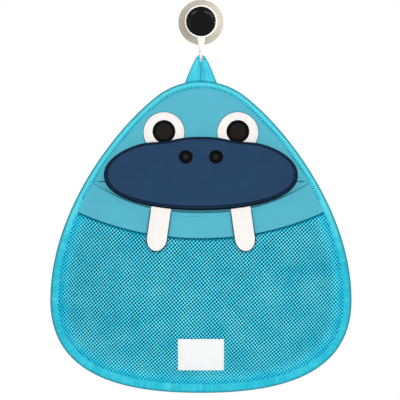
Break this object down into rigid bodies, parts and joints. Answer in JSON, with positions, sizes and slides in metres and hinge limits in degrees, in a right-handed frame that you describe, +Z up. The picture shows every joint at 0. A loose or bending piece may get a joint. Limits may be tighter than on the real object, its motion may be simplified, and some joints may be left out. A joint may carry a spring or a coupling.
{
  "type": "bath toy organizer",
  "caption": "Soft walrus-head bag with a net pocket, a snout flap over its smiling mouth and hanging tusks, hung by a strap loop from a suction cup hook on a wall.",
  "frame": {"origin": "middle of the suction cup's flat face, on the wall", "axes": "+Z up the wall, +X to the right seen from the room, +Y into the wall"},
  "size_m": [0.4, 0.0465, 0.5224],
  "materials": {
    "clear_pvc": "soft cloudy PVC, satin",
    "white_plastic": "moulded, glossy",
    "black_plastic": "moulded, high gloss",
    "cyan_tape": "woven binding tape",
    "teal_fabric": "foam-backed knit, matt",
    "cyan_net": "knitted polyester mesh",
    "navy_fabric": "foam-backed knit, matt",
    "black_felt": "matt, faintly ribbed",
    "white_felt": "matt, smooth",
    "white_label": "satin-woven label, blank"
  },
  "bodies": {
    "cup": {"suction_cup": "clear_pvc", "hook_cap": "black_plastic"},
    "hook": {"hook": "white_plastic"},
    "loop": {"hang_loop": "cyan_tape"},
    "bag": {"back_panel": "teal_fabric", "face_panel": "teal_fabric", "edge_binding": "cyan_tape", "pocket_band": "teal_fabric", "pocket_net": "cyan_net", "label": "white_label", "eye_white_left": "white_felt", "eye_white_right": "white_felt", "pupil_left": "black_felt", "pupil_right": "black_felt"},
    "snout": {"snout_backing": "black_felt", "snout": "navy_fabric", "nostril_left": "black_felt", "nostril_right": "black_felt"},
    "tusk_left": {"tusk_left": "white_felt"},
    "tusk_right": {"tusk_right": "white_felt"}
  },
  "joints": [
    {"name": "hook_swivel", "type": "hinge", "parent": "cup", "child": "hook", "pos_m": [0, 0, 0], "axis": [0, 1, 0], "continuous": true},
    {"name": "loop_swing", "type": "hinge", "parent": "hook", "child": "loop", "pos_m": [0, -0.0189, -0.0505], "axis": [0, 1, 0], "range_deg": [-25, 25]},
    {"name": "bag_tilt", "type": "hinge", "parent": "loop", "child": "bag", "pos_m": [0, -0.00515, -0.08185], "axis": [-1, 0, 0], "range_deg": [0, 60]},
    {"name": "snout_lift", "type": "hinge", "parent": "bag", "child": "snout", "pos_m": [0, -0.0076, -0.153], "axis": [-1, 0, 0], "range_deg": [0, 70]},
    {"name": "tusk_left_lift", "type": "hinge", "parent": "snout", "child": "tusk_left", "pos_m": [-0.0525, -0.02595, -0.24887], "axis": [-1, 0, 0], "range_deg": [0, 60]},
    {"name": "tusk_right_lift", "type": "hinge", "parent": "snout", "child": "tusk_right", "pos_m": [0.0525, -0.02595, -0.24887], "axis": [-1, 0, 0], "range_deg": [0, 60]}
  ]
}
